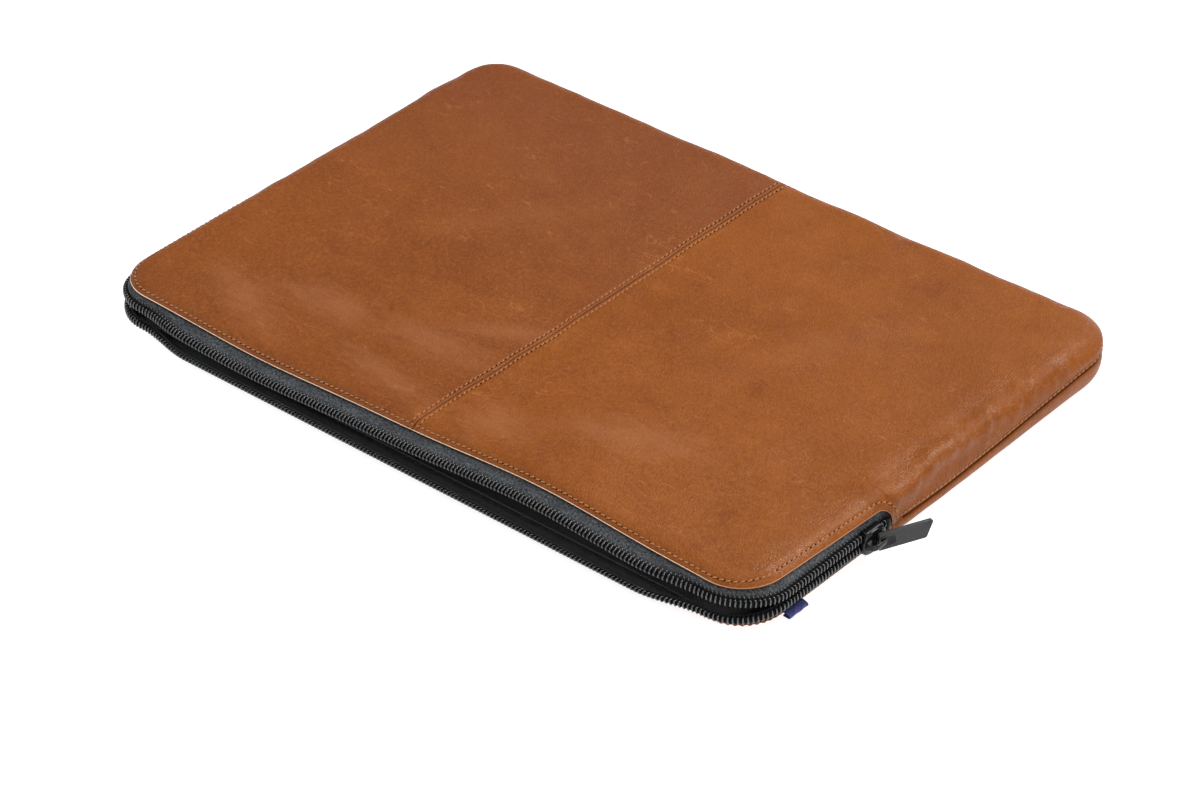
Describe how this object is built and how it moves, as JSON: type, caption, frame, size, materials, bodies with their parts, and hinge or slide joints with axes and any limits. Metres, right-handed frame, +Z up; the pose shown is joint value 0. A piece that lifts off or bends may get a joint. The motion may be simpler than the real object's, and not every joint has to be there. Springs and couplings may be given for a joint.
{
  "type": "laptop sleeve",
  "caption": "Padded leather laptop sleeve lying flat, open coil zip round the front edge and both short sides, slider parked at one end with a flat puller.",
  "frame": {"origin": "centre of the flat bottom face that the sleeve lies on", "axes": "+X along the mouth towards the end where the slider is parked, +Y from the mouth to the closed back, +Z up through the thickness"},
  "size_m": [0.356, 0.2432, 0.0223],
  "materials": {
    "leather": "smooth cognac leather with a soft sheen, light creasing and mottling",
    "foam": "closed-cell padding",
    "lining_fabric": "short soft charcoal microfibre",
    "backing_cloth": "thin woven backing strip",
    "zip_tape": "fine woven charcoal tape",
    "zip_coil": "black nylon monofilament",
    "black_metal": "gloss black plated zinc",
    "puller_rubber": "matt dark grey coating",
    "thread": "tone-on-tone twisted polyester thread",
    "woven_tab": "woven ribbon"
  },
  "bodies": {
    "sleeve": {"bottom_leather": "leather", "top_left_leather_rear": "leather", "top_right_leather_rear": "leather", "bottom_foam": "foam", "top_foam_rear": "foam", "top_seam_backing_rear": "backing_cloth", "bottom_lining": "lining_fabric", "top_lining_rear": "lining_fabric", "lower_zip_tape": "zip_tape", "lower_zip_coil": "zip_coil", "upper_zip_tape_ends": "zip_tape", "upper_zip_coil_ends": "zip_coil", "zip_bottom_stop": "black_metal", "zip_top_stops": "black_metal", "upper_mouth_thread_rear": "thread", "lower_mouth_thread": "thread", "edge_seam_thread": "thread", "centre_seam_thread_rear": "thread", "side_tab": "woven_tab"},
    "mouth_flap": {"top_left_leather_front": "leather", "top_right_leather_front": "leather", "top_foam_front": "foam", "top_seam_backing_front": "backing_cloth", "top_lining_front": "lining_fabric", "upper_zip_tape": "zip_tape", "upper_zip_coil": "zip_coil", "upper_mouth_thread_front": "thread", "centre_seam_thread_front": "thread"},
    "zip_slider": {"slider_body": "black_metal"},
    "puller": {"puller_ring": "black_metal", "puller_grip": "puller_rubber"}
  },
  "joints": [
    {"name": "mouth_lift", "type": "hinge", "parent": "sleeve", "child": "mouth_flap", "pos_m": [0, -0.056, 0.022], "axis": [-1, 0, 0], "range_deg": [0, 25], "deforming": ["upper_zip_tape", "upper_zip_coil"]},
    {"name": "zip_slide", "type": "slide", "parent": "sleeve", "child": "zip_slider", "axis": [0, 1, 0], "range_m": [-0.037, 0], "deforming": ["lower_zip_tape", "lower_zip_coil", "upper_zip_tape_ends", "upper_zip_coil_ends"]},
    {"name": "puller_swing", "type": "hinge", "parent": "zip_slider", "child": "puller", "pos_m": [0.1742, -0.047, 0.01], "axis": [0, 0, 1], "range_deg": [-153, 23]}
  ]
}
